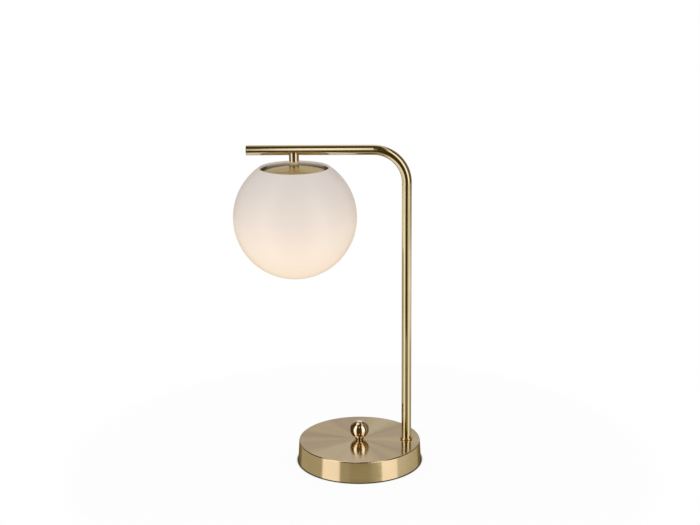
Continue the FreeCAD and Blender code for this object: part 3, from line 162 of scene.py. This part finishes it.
# The high part is what the knob, the arm, the dome and the top of the cover mirror. The wall is
# brighter higher up, and the ceiling's strips draw together and fade towards the back.
wall_level = spread(room, rise, low=24.0, high=40.0, at_low=0.445, at_high=0.82)
lean = maths(room, "DEGREES", maths(room, "ARCTAN2", to_right, upward))
strip_lean = spread(room, behind, low=-0.5, high=0.3, at_low=36.0, at_high=20.0)
off_strip = maths(room, "SUBTRACT", maths(room, "ABSOLUTE", lean), strip_lean)
strip_level = spread(room, behind, low=-0.2, high=0.45, at_low=1.0, at_high=0.35)
high_panels = {
    "dark ceiling": Panel(off_front, rise, 0.0, 400.0, 44.0, 95.0, 0.07, edge=8.0, fade=10.0),
    "corners behind": Panel(off_front, rise, 180.0, 50.0, 4.0, 40.0, 0.24, edge=12.0, fade=10.0),
    "wall behind": Panel(
        off_front, rise, 180.0, 24.0, -30.0, 63.0, wall_level, edge=16.0, fade=10.0
    ),
    "left box": Panel(side, rise, -54.0, 17.0, -30.0, 50.0, 1.2, edge=7.0, fade=10.0),
    "right box": Panel(side, rise, 49.0, 18.0, -30.0, 50.0, 1.2, edge=7.0, fade=10.0),
    "ceiling strips": Panel(
        off_strip, behind, 0.0, 5.5, -0.42, 0.6, strip_level, edge=4.0, fade=0.2
    ),
    "strip over the camera": Panel(side, rise, -2.7, 3.2, 6.0, 50.0, 1.25, edge=2.0, fade=14.0),
}
side_level = spread(room, side, low=60.0, high=90.0, at_low=0.06, at_high=0.15)
high = hang(room, side_level, high_panels)

PART_LINE = -12.2
PART_WIDTH = 1.2
in_low_part = falling(room, rise, PART_LINE, PART_WIDTH)
mirrored = between(room, in_low_part, high, low)

# Mirrored light is a warm white, and browner where it is dark. Everything else is lit plain white.
WARM_CORNER = (1.0, 0.54, 0.13)
OLIVE_CORNER = (1.0, 0.72, 0.2)
WARM_DUSK = (1.0, 0.91, 0.58)
LAMP_WHITE = (1.0, 0.93, 0.8)
WHITE = (1.0, 1.0, 1.0, 1.0)
BACKGROUND_LEVEL = 1.0

lit_high = spread(room, mirrored, low=0.03, high=0.4, at_low=0.0, at_high=1.0)
above = colours(room, lit_high, [(0.0, WARM_CORNER), (1.0, LAMP_WHITE)])
lit_low = spread(room, mirrored, low=0.03, high=0.9, at_low=0.0, at_high=1.0)
below = colours(room, lit_low, [(0.0, OLIVE_CORNER), (0.3, WARM_DUSK), (1.0, LAMP_WHITE)])
path = node(room, "LightPath").node
in_mirror = path.outputs["Is Glossy Ray"]
even = spread(room, rise, low=-90.0, high=90.0, at_low=1.0, at_high=0.78)
level = between(room, in_mirror, even, mirrored)
seen_plain = maths(
    room, "MAXIMUM", path.outputs["Is Camera Ray"], path.outputs["Is Transmission Ray"]
)
level = between(room, seen_plain, level, BACKGROUND_LEVEL)
mirrored_tint = tint_between(room, in_low_part, above, below)
room_tint = tint_between(room, in_mirror, WHITE, mirrored_tint)
background = room.nodes["Background"].inputs
room.links.new(room_tint, background["Color"])
room.links.new(level, background["Strength"])

# Table top: white and matt. It takes the lamp's shadow, with painted shade, dark brown, in the slit
# under the cover's rim, and is plain white further off. Distances on it are from that rim.
TABLE_SIZE = 12.0
COVER_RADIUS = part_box("base_shell")[1][0]
SLIT_START = 0.0004
PAINTED_SLIT_SHADE = (0.03, 0.02, 0.01)
TABLE_WHITE = (0.93, 0.93, 0.93)

bpy.ops.mesh.primitive_plane_add(size=TABLE_SIZE, location=(0.0, 0.0, 0.0))
table_top = bpy.context.object
table_top.name = "table_top"
table_top.visible_glossy = False
white_top = bpy.data.materials.new("white_table_top")
white_top.use_nodes = True
tree = white_top.node_tree
paint = tree.nodes["Principled BSDF"]
paint.inputs["Roughness"].default_value = 0.9
paint.inputs["Specular IOR Level"].default_value = 0.0
spot = node(tree, "TexCoord", out="Object")
off_middle = node(tree, "VectorMath", out="Value", operation="LENGTH", inputs={0: spot})
off_rim = maths(tree, "SUBTRACT", off_middle, COVER_RADIUS)
# Painted shade: the table's own colour turns dark brown in the slit just past the cover's rim.
past_painted_shade = spread(tree, off_rim, low=SLIT_START, high=0.0025, at_low=0.0, at_high=1.0)
shade = colours(tree, past_painted_shade, [(0.0, PAINTED_SLIT_SHADE), (1.0, TABLE_WHITE)])
tree.links.new(shade, paint.inputs["Base Color"])
past_rim_shadow = spread(tree, off_rim, low=SLIT_START, high=0.0031, at_low=0.0, at_high=0.94)
past_shadow = spread(tree, off_rim, low=0.0225, high=0.3225, at_low=0.0, at_high=1.0)
plain_share = maths(tree, "MAXIMUM", past_rim_shadow, past_shadow)
seen = maths(tree, "MULTIPLY", plain_share, node(tree, "LightPath", out="Is Camera Ray"))
glow = node(tree, "Emission", inputs={"Color": WHITE, "Strength": BACKGROUND_LEVEL})
both = node(tree, "MixShader", inputs={0: seen, 1: paint.outputs[0], 2: glow})
tree.links.new(both, tree.nodes["Material Output"].inputs["Surface"])
table_top.data.materials.append(white_top)

# Flag: a dark card that stands on the table in front of the lamp, so that the tube, the arm and the
# knob have a dark line down their middle. Only metal and glass show it.
FLAG_WIDTH = 0.4
FLAG_TOP = 0.38
FLAG_AWAY = 0.5
FLAG_COLOUR = (1.0, 0.6, 0.05, 1.0)
FLAG_LEVEL = 0.05

bpy.ops.mesh.primitive_plane_add(size=1.0, location=(0.0, 0.0, 0.0))
flag = bpy.context.object
flag.name = "flag"
for corner in flag.data.vertices:
    x, y = corner.co.xy
    corner.co = (x * FLAG_WIDTH, -FLAG_AWAY, (y + 0.5) * FLAG_TOP)
flag.visible_camera = False
flag.visible_diffuse = False
flag.visible_transmission = False
flag.visible_shadow = False
dark_card = bpy.data.materials.new("dark_card")
dark_card.use_nodes = True
tree = dark_card.node_tree
glow = node(tree, "Emission", inputs={"Color": FLAG_COLOUR, "Strength": FLAG_LEVEL})
tree.links.new(glow, tree.nodes["Material Output"].inputs["Surface"])
flag.data.materials.append(dark_card)


# Base cover: spun from brass sheet and turned in the lathe with a fine abrasive, so that its lines
# run round the middle, then lacquered. Its level top has a painted reflection: fan-shaped patches of
# lighter and darker colour, set by the angle round the middle. The tube stands at one side of it and
# the knob at the middle, and the collar is finished with it.
def object_spot(tree):
    return node(tree, "TexCoord", out="Object")


def height_up(tree):
    return node(tree, "SeparateXYZ", out="Z", inputs={0: object_spot(tree)})


def grain(tree, place, scale, detail=3.0, roughness=0.55):
    """Irregular variation from 0 to 1 over the surface, so many patches to the metre."""
    return node(
        tree,
        "TexNoise",
        inputs={"Vector": place, "Scale": scale, "Detail": detail, "Roughness": roughness},
    )


def stretched(tree, place, along):
    """A place whose pattern is drawn out: each axis is scaled by its own number."""
    return node(tree, "VectorMath", operation="MULTIPLY", inputs={0: place, 1: along})


def bump(tree, height, depth, strength=1.0, under=None):
    """A normal from a height of 0 to 1 that stands for so many metres."""
    inputs = {"Height": height, "Distance": depth, "Strength": strength}
    if under is not None:
        inputs["Normal"] = under
    return node(tree, "Bump", inputs=inputs)


GRAIN_LOW = 0.3
GRAIN_HIGH = 0.7


def varied(tree, pattern, at_low, at_high):
    """A number that follows a pattern, over the range that most of the pattern has."""
    return spread(tree, pattern, GRAIN_LOW, GRAIN_HIGH, at_low, at_high)


def new_material(name, metallic=0.0):
    """A material, its nodes and its shader."""
    material = bpy.data.materials.new(name)
    material.use_nodes = True
    surface = material.node_tree.nodes["Principled BSDF"]
    surface.inputs["Metallic"].default_value = metallic
    return material, material.node_tree, surface


def dress(surface, tint, rough, relief):
    """Gives a shader its colour, its roughness and its fine relief."""
    links = surface.id_data.links
    links.new(tint, surface.inputs["Base Color"])
    links.new(rough, surface.inputs["Roughness"])
    links.new(relief, surface.inputs["Normal"])


def lacquer(surface, weight, roughness):
    surface.inputs["Coat Weight"].default_value = weight
    surface.inputs["Coat Roughness"].default_value = roughness


def finish_in(material, *names):
    """Gives CAD nodes their material."""
    for name in names:
        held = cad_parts[name].data.materials
        held.clear()
        held.append(material)


def around_axis(tree, piece):
    """Distance from a piece's upright axis, angle round it, and the direction round it."""
    low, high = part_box(piece)
    axis = ((low[0] + high[0]) / 2, (low[1] + high[1]) / 2, 0.0)
    centred = node(
        tree, "VectorMath", operation="SUBTRACT", inputs={0: object_spot(tree), 1: axis}
    )
    flat = stretched(tree, centred, (1.0, 1.0, 0.0))
    distance = node(tree, "VectorMath", out="Value", operation="LENGTH", inputs={0: flat})
    parts = node(tree, "SeparateXYZ", inputs={0: flat}).node
    angle = maths(tree, "ARCTAN2", parts.outputs["Y"], parts.outputs["X"])
    crossed = node(
        tree, "VectorMath", operation="CROSS_PRODUCT", inputs={0: (0.0, 0.0, 1.0), 1: flat}
    )
    return distance, angle, node(tree, "VectorMath", operation="NORMALIZE", inputs={0: crossed})


TONE_SHARES = (0.25, 0.5, 0.75)
FAN_SHARES = (0.38, 0.46, 0.54, 0.62)


def brass_tint(tree, tone, tones, shares=TONE_SHARES):
    """Brass from its deepest tone to its palest."""
    return colours(tree, tone, list(zip(shares, tones)))


COVER_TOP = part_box("base_shell")[1][2]
FANS_START = COVER_TOP - 0.0012
FANS_FULL = COVER_TOP - 0.0002
COVER_TONES = [(0.8, 0.655, 0.46), (0.89, 0.735, 0.51), (0.96, 0.81, 0.58)]
# Painted reflection: the colours of the fan-shaped patches on the cover's top.
PAINTED_FAN_TONES = [(0.74, 0.6, 0.46), (0.85, 0.705, 0.51), (0.92, 0.78, 0.53), (1.0, 0.86, 0.66)]
PAINTED_FAN_STRENGTH = 0.85
FANS_ROUND = 1.6
LINES_IN_FANS = 0.12
FINE_LINES = 3600.0
BROAD_LINES = 420.0
BROAD_SHARE = 0.4
LINE_DRIFT = 0.0008
LINE_DEPTH = 0.000002
BRASS_CLOUDS = 14.0
LINES_IN_CLOUDS = 0.35
QUARTER_TURN = 0.25


def turned_brass(name, piece, roughness, across, tones, painted_fan_tones=None):
    """Lacquered brass with fine turning lines round a piece's upright axis, and a painted reflection
    on its top where fan tones are given.
    """
    material, tree, surface = new_material(name, metallic=1.0)
    distance, angle, round_it = around_axis(tree, piece)
    height = height_up(tree)
    depth = maths(tree, "SUBTRACT", distance, height)
    drift = maths(tree, "MULTIPLY", angle, LINE_DRIFT)
    lines_at = node(tree, "CombineXYZ", inputs={0: depth, 1: drift})
    fine = grain(tree, lines_at, FINE_LINES, detail=2.0)
    broad = grain(tree, lines_at, BROAD_LINES)
    lines = between(tree, BROAD_SHARE, fine, broad)
    cloud = grain(tree, object_spot(tree), BRASS_CLOUDS)
    tint = brass_tint(tree, between(tree, LINES_IN_CLOUDS, cloud, lines), tones)
    # Painted reflection: fan-shaped patches of lighter and darker colour on the level top, by the
    # angle round the middle.
    if painted_fan_tones:
        painted_fans = grain(tree, round_it, FANS_ROUND, detail=1.0)
        painted_fans = between(tree, LINES_IN_FANS, painted_fans, lines)
        painted_fan_tint = brass_tint(tree, painted_fans, painted_fan_tones, FAN_SHARES)
        painted_fans_on_top = spread(tree, height, FANS_START, FANS_FULL, at_low=0.0, at_high=PAINTED_FAN_STRENGTH)
        tint = tint_between(tree, painted_fans_on_top, tint, painted_fan_tint)
    rough = varied(tree, lines, at_low=roughness - 0.03, at_high=roughness + 0.04)
    dress(surface, tint, rough, bump(tree, lines, LINE_DEPTH))
    tree.links.new(round_it, surface.inputs["Tangent"])
    surface.inputs["Anisotropic"].default_value = across
    surface.inputs["Anisotropic Rotation"].default_value = QUARTER_TURN
    lacquer(surface, weight=0.15, roughness=0.04)
    return material


cover_brass = turned_brass(
    "turned_satin_brass",
    "base_shell",
    roughness=0.12,
    across=0.7,
    tones=COVER_TONES,
    painted_fan_tones=PAINTED_FAN_TONES,
)
finish_in(cover_brass, "base_shell", "foot_collar")

# Tube, end plug and neck: drawn brass tube, bent once, finished lengthwise with a fine abrasive pad,
# so that its lines follow the bend, and lacquered. The neck is brazed to the underside of the arm.
TUBE_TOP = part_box("stem_tube")[1][2]
BEND_START = TUBE_TOP - 0.0325
BEND_END = TUBE_TOP - 0.0125
TUBE_TONES = [(0.76, 0.675, 0.46), (0.81, 0.74, 0.535), (0.86, 0.795, 0.61)]
TUBE_CLOUDS = 38.0
HAIR_LINES = 900.0
HAIR_DEPTH = 0.0000008
HAIR_IN_CLOUDS = 0.35
DRAWN_OUT = 0.05

tube_brass, tree, surface = new_material("satin_brass_tube", metallic=1.0)
place = object_spot(tree)
up_tube = grain(tree, stretched(tree, place, (1.0, 1.0, DRAWN_OUT)), HAIR_LINES)
along_arm = grain(tree, stretched(tree, place, (DRAWN_OUT, 1.0, 1.0)), HAIR_LINES)
on_arm = spread(tree, height_up(tree), BEND_START, BEND_END, at_low=0.0, at_high=1.0)
hair = between(tree, on_arm, up_tube, along_arm)
cloud = grain(tree, place, TUBE_CLOUDS)
tint = brass_tint(tree, between(tree, HAIR_IN_CLOUDS, cloud, hair), TUBE_TONES)
rough = varied(tree, hair, at_low=0.08, at_high=0.13)
dress(surface, tint, rough, bump(tree, hair, HAIR_DEPTH))
lacquer(surface, weight=0.2, roughness=0.05)
finish_in(tube_brass, "stem_tube", "neck_tube", "arm_end_plug")

# Dome: a shallow cap spun from brass sheet and left duller than the cover, so that it mirrors
# little. It hangs on the neck's nipple, sunk in the mouth of the globe.
DOME_TONES = [(0.92, 0.745, 0.42), (0.96, 0.81, 0.48), (1.0, 0.87, 0.55)]

dome_brass = turned_brass(
    "turned_dome_brass", "dome_cap", roughness=0.5, across=0.5, tones=DOME_TONES
)
finish_in(dome_brass, "dome_cap")


# Ball knob: turned from brass bar and polished, with the last faint tool lines still round it, and
# lacquered. A grub screw at its back holds it on the flat of the dimmer's spindle.
def mottled(tree, pattern, at_low, at_high):
    """A colour that follows a pattern, over the range that most of the pattern has."""
    return colours(tree, pattern, [(GRAIN_LOW, at_low), (GRAIN_HIGH, at_high)])


KNOB_DEEP = (0.92, 0.85, 0.7)
KNOB_PALE = (0.96, 0.9, 0.775)
KNOB_HAZE = 160.0
TOOL_LINES = 2600.0
TOOL_LINE_DEPTH = 0.000003

knob_brass, tree, surface = new_material("polished_brass", metallic=1.0)
tool_lines = node(
    tree,
    "TexNoise",
    noise_dimensions="1D",
    inputs={"W": height_up(tree), "Scale": TOOL_LINES, "Detail": 2.0},
)
haze = grain(tree, object_spot(tree), KNOB_HAZE)
tint = mottled(tree, haze, KNOB_DEEP, KNOB_PALE)
rough = varied(tree, haze, at_low=0.05, at_high=0.09)
dress(surface, tint, rough, bump(tree, tool_lines, TOOL_LINE_DEPTH))
lacquer(surface, weight=0.2, roughness=0.03)
finish_in(knob_brass, "ball_knob")

# Globe: one blown ball of opal glass, etched to a satin skin, with its rim melted round. The bulb's
# light is painted on it as glow, most at the bottom, where the bulb points, with faint painted light
# on its inner face, brighter in the mouth, and a painted highlight on the rim.
# Heights in the glass are from the middle of the ball.
globe_low, globe_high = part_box("globe_glass")
GLOBE_RADIUS = (globe_high[0] - globe_low[0]) / 2
GLOBE_CENTRE = (globe_low[0] + GLOBE_RADIUS, 0.0, globe_low[2] + GLOBE_RADIUS)
INNER_SKIN = GLOBE_RADIUS - 0.0022
OUTER_SKIN = GLOBE_RADIUS - 0.0008
GLASS_DEEP = (0.875, 0.79, 0.74)
GLASS_PALE = (0.9, 0.815, 0.765)
GLASS_CLOUDS = 9.0
ETCHED_PITS = 1400.0
PIT_DEPTH = 0.00002
GLOW_INSIDE = (1.0, 0.95, 0.88)
GLOW_OUTSIDE = (1.0, 0.72, 0.4)

opal, tree, surface = new_material("opal_glass")
place = object_spot(tree)
cloud = grain(tree, place, GLASS_CLOUDS)
pits = grain(tree, place, ETCHED_PITS, detail=2.0)
tint = mottled(tree, cloud, GLASS_DEEP, GLASS_PALE)
rough = varied(tree, cloud, at_low=0.34, at_high=0.42)
dress(surface, tint, rough, bump(tree, pits, PIT_DEPTH, strength=0.3))
off_centre = node(
    tree, "VectorMath", out="Value", operation="DISTANCE", inputs={0: place, 1: GLOBE_CENTRE}
)
outside = spread(tree, off_centre, INNER_SKIN, OUTER_SKIN, at_low=0.0, at_high=1.0)
up_ball = maths(tree, "SUBTRACT", height_up(tree), GLOBE_CENTRE[2])
# Painted light: the bulb's glow on the outer skin, painted light on the inner face and in the mouth,
# and a painted highlight on the rim.
painted_bulb_glow = spread(tree, up_ball, low=-0.0789, high=0.0711, at_low=0.385, at_high=0.0)
painted_mouth_light = spread(tree, up_ball, low=0.0546, high=0.0581, at_low=0.02, at_high=0.18)
painted_rim_highlight = spread(tree, up_ball, low=0.0613, high=0.0624, at_low=0.0, at_high=0.16)
painted_glow = maths(tree, "ADD", between(tree, outside, painted_mouth_light, painted_bulb_glow), painted_rim_highlight)
glow_tint = colours(tree, outside, [(0.0, GLOW_INSIDE), (1.0, GLOW_OUTSIDE)])
tree.links.new(glow_tint, surface.inputs["Emission Color"])
tree.links.new(painted_glow, surface.inputs["Emission Strength"])
lacquer(surface, weight=0.25, roughness=0.2)
finish_in(opal, "globe_glass")


# Metal inside: mostly steel with zinc plating, a little yellow in its film and finely crystalline.
# The dimmer's bush, nut and spindle, which show under the knob, are painted dark brown as the shade
# under the knob, and the grub screw is black. The springs are bare, the contacts brass, the bulb's
# cap nickel, its board aluminium.
CRYSTALS = 900.0
CRYSTAL_DEPTH = 0.000015
FILM_PATCHES = 70.0
FILM_SHARE = 0.5
PLATED_DARK = 0.25
PLATED_LIGHT = 0.65


def plated(name, dark, light, roughness, crystals=CRYSTALS):
    """Metal with a crystalline skin and a film that clouds it."""
    material, tree, surface = new_material(name, metallic=1.0)
    place = object_spot(tree)
    crystal = node(tree, "TexVoronoi", inputs={"Vector": place, "Scale": crystals})
    film = grain(tree, place, FILM_PATCHES)
    tone = between(tree, FILM_SHARE, crystal, film)
    tint = colours(tree, tone, [(PLATED_DARK, dark), (PLATED_LIGHT, light)])
    rough = varied(tree, film, at_low=roughness - 0.06, at_high=roughness + 0.1)
    dress(surface, tint, rough, bump(tree, crystal, CRYSTAL_DEPTH, strength=0.5))
    return material


zinc_plated_steel = plated(
    "zinc_plated_steel", (0.46, 0.46, 0.44), (0.68, 0.67, 0.62), roughness=0.33
)
finish_in(zinc_plated_steel, "base_plate", "plate_screws", "terminal_fixing", "terminal_screws")
finish_in(zinc_plated_steel, "stem_nipple", "stem_nut", "stem_washer")
finish_in(zinc_plated_steel, "dimmer_bracket", "bracket_screws")
finish_in(zinc_plated_steel, "neck_nipple", "dome_nut", "plate_nut")
finish_in(zinc_plated_steel, "spring_plate", "spring_rivets")
# Painted shade: dark brown steel for the dimmer's parts that show under the knob.
painted_shade_steel = plated("painted_shade_steel", (0.05, 0.03, 0.015), (0.12, 0.075, 0.04), roughness=0.35)
finish_in(painted_shade_steel, "dimmer_bushing", "dimmer_nut", "dimmer_spindle")
black_steel = plated("black_steel", (0.03, 0.03, 0.032), (0.07, 0.07, 0.07), roughness=0.4)
finish_in(black_steel, "knob_grub_screw")
spring_steel = plated(
    "spring_steel", (0.22, 0.21, 0.2), (0.42, 0.4, 0.37), roughness=0.26, crystals=300.0
)
finish_in(spring_steel, "globe_spring_1", "globe_spring_2", "globe_spring_3")
contact_brass = plated(
    "contact_brass", (0.62, 0.44, 0.17), (0.82, 0.62, 0.28), roughness=0.24, crystals=400.0
)
finish_in(contact_brass, "screw_shell", "centre_contact", "bulb_contact")
nickel_plate = plated(
    "nickel_plate", (0.58, 0.56, 0.52), (0.76, 0.73, 0.67), roughness=0.18, crystals=500.0
)
finish_in(nickel_plate, "bulb_cap")
board_aluminium = plated(
    "board_aluminium", (0.6, 0.6, 0.6), (0.78, 0.78, 0.77), roughness=0.42, crystals=700.0
)
finish_in(board_aluminium, "bulb_light_board")

# Ballast: grey iron cast in sand and dipped in black paint, with the grain of the mould in its skin
# and thin paint on its lumps. The nipple at the foot of the tube clamps it in the cover.
PAINT_DARK = (0.018, 0.018, 0.018)
PAINT_THIN = (0.05, 0.048, 0.045)
SAND_GRAINS = 700.0
SAND_DEPTH = 0.00015
CASTING_LUMPS = 90.0
LUMP_DEPTH = 0.0003

iron, tree, surface = new_material("painted_cast_iron")
place = object_spot(tree)
sand = grain(tree, place, SAND_GRAINS, detail=4.0, roughness=0.7)
lumps = grain(tree, place, CASTING_LUMPS)
tint = mottled(tree, lumps, PAINT_DARK, PAINT_THIN)
coarse = bump(tree, lumps, LUMP_DEPTH, strength=0.6)
relief = bump(tree, sand, SAND_DEPTH, strength=0.8, under=coarse)
dress(surface, tint, varied(tree, sand, at_low=0.45, at_high=0.7), relief)
finish_in(iron, "base_weight")


# Moulded pieces: the dimmer's housing, the lampholder, the cord's bush and the cap's insulator are
# black, and the terminal block and the bulb's collar white, all with a fine spark-eroded texture.
# The sheaths of the wires and the bulb's frosted envelope have the same kind of skin.
SPARK_PITS = 2600.0
SPARK_DEPTH = 0.00003
PLASTIC_CLOUDS = 45.0


def moulded(name, dark, light, roughness):
    """Plastic with a finely pitted skin and faint clouds in its colour."""
    material, tree, surface = new_material(name)
    place = object_spot(tree)
    spark = grain(tree, place, SPARK_PITS, detail=2.0, roughness=0.7)
    cloud = grain(tree, place, PLASTIC_CLOUDS)
    rough = varied(tree, spark, at_low=roughness - 0.08, at_high=roughness + 0.08)
    relief = bump(tree, spark, SPARK_DEPTH, strength=0.5)
    dress(surface, mottled(tree, cloud, dark, light), rough, relief)
    return material


black_plastic = moulded(
    "black_moulding", (0.012, 0.012, 0.013), (0.024, 0.024, 0.025), roughness=0.42
)
finish_in(
    black_plastic, "dimmer_body", "holder_cap", "holder_body", "cord_bush", "bulb_insulator"
)
white_plastic = moulded("white_moulding", (0.72, 0.71, 0.68), (0.8, 0.79, 0.76), roughness=0.4)
finish_in(white_plastic, "terminal_block", "bulb_collar")
sheath = moulded("white_lead_sheath", (0.68, 0.67, 0.64), (0.78, 0.77, 0.74), roughness=0.5)
finish_in(sheath, "lamp_lead", "switch_wires")
frosted = moulded("frosted_bulb", (0.84, 0.83, 0.8), (0.88, 0.87, 0.84), roughness=0.5)
finish_in(frosted, "bulb_envelope")

# Pad: soft black foam, die cut, stuck under the plate so that the lamp doesn't slide. Its cut cells
# show as fine pits with dust in them.
FOAM_DARK = (0.012, 0.012, 0.012)
FOAM_DUSTY = (0.035, 0.034, 0.033)
FOAM_CELLS = 1500.0
CELL_DEPTH = 0.0002
DUST_PATCHES = 60.0

foam, tree, surface = new_material("black_foam")
place = object_spot(tree)
cells = node(tree, "TexVoronoi", inputs={"Vector": place, "Scale": FOAM_CELLS})
dust = grain(tree, place, DUST_PATCHES)
rough = spread(tree, cells, low=0.1, high=0.6, at_low=0.7, at_high=0.95)
relief = bump(tree, cells, CELL_DEPTH, strength=0.7)
dress(surface, mottled(tree, dust, FOAM_DARK, FOAM_DUSTY), rough, relief)
finish_in(foam, "base_pad")
